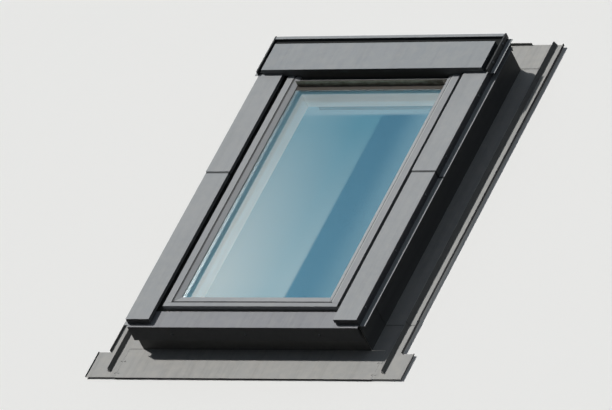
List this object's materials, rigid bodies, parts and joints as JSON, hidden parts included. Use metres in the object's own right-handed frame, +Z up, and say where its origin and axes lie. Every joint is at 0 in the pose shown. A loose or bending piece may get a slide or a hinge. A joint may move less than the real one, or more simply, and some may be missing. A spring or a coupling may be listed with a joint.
{
  "type": "roof window with casing and flashing",
  "caption": "Pitched-roof pivot window, shut, with a timber frame and sash, double glass, grey metal casings, a hood and an all-round flashing.",
  "frame": {"origin": "middle of the sill bracket's underside, where the window bears on the batten", "axes": "+X across the window to the right seen from outside, +Z up, and the outside towards -Y and up at 45 degrees"},
  "size_m": [0.9, 0.8129, 0.8379],
  "materials": {
    "casing_metal": "satin grey lacquer",
    "flashing_metal": "satin grey lacquer, weathered",
    "white_timber": "white paint",
    "glass": "smooth",
    "spacer": "mill finish",
    "cap_plastic": "satin black",
    "gasket_rubber": "matt",
    "bracket_steel": "galvanised",
    "fitting_metal": "satin"
  },
  "bodies": {
    "root": {"apron": "flashing_metal", "apron_corner_left": "flashing_metal", "apron_corner_right": "flashing_metal", "barrel_bolt": "fitting_metal", "bottom_casing": "casing_metal", "control_bar": "fitting_metal", "frame_gasket": "gasket_rubber", "frame_head": "white_timber", "frame_jamb_left": "white_timber", "frame_jamb_right": "white_timber", "frame_sill": "white_timber", "glazing_bead_bottom": "casing_metal", "glazing_bead_left": "casing_metal", "glazing_bead_right": "casing_metal", "glazing_bead_top": "casing_metal", "glazing_gasket": "gasket_rubber", "glazing_tape": "gasket_rubber", "head_bracket": "bracket_steel", "head_casing": "casing_metal", "head_flashing": "flashing_metal", "hood": "casing_metal", "hood_back": "casing_metal", "hood_end_left": "cap_plastic", "hood_end_right": "cap_plastic", "hood_gasket": "gasket_rubber", "inner_pane": "glass", "outer_pane": "glass", "pane_spacer": "spacer", "pivot_hinge_left": "fitting_metal", "pivot_hinge_right": "fitting_metal", "sash_bottom_rail": "white_timber", "sash_cover_bottom": "casing_metal", "sash_cover_left": "casing_metal", "sash_cover_right": "casing_metal", "sash_cover_top": "casing_metal", "sash_stile_left": "white_timber", "sash_stile_right": "white_timber", "sash_top_rail": "white_timber", "side_casing_lower_left": "casing_metal", "side_casing_lower_right": "casing_metal", "side_casing_upper_left": "casing_metal", "side_casing_upper_right": "casing_metal", "side_gutter_left": "flashing_metal", "side_gutter_right": "flashing_metal", "sill_bracket": "bracket_steel"}
  },
  "joints": []
}
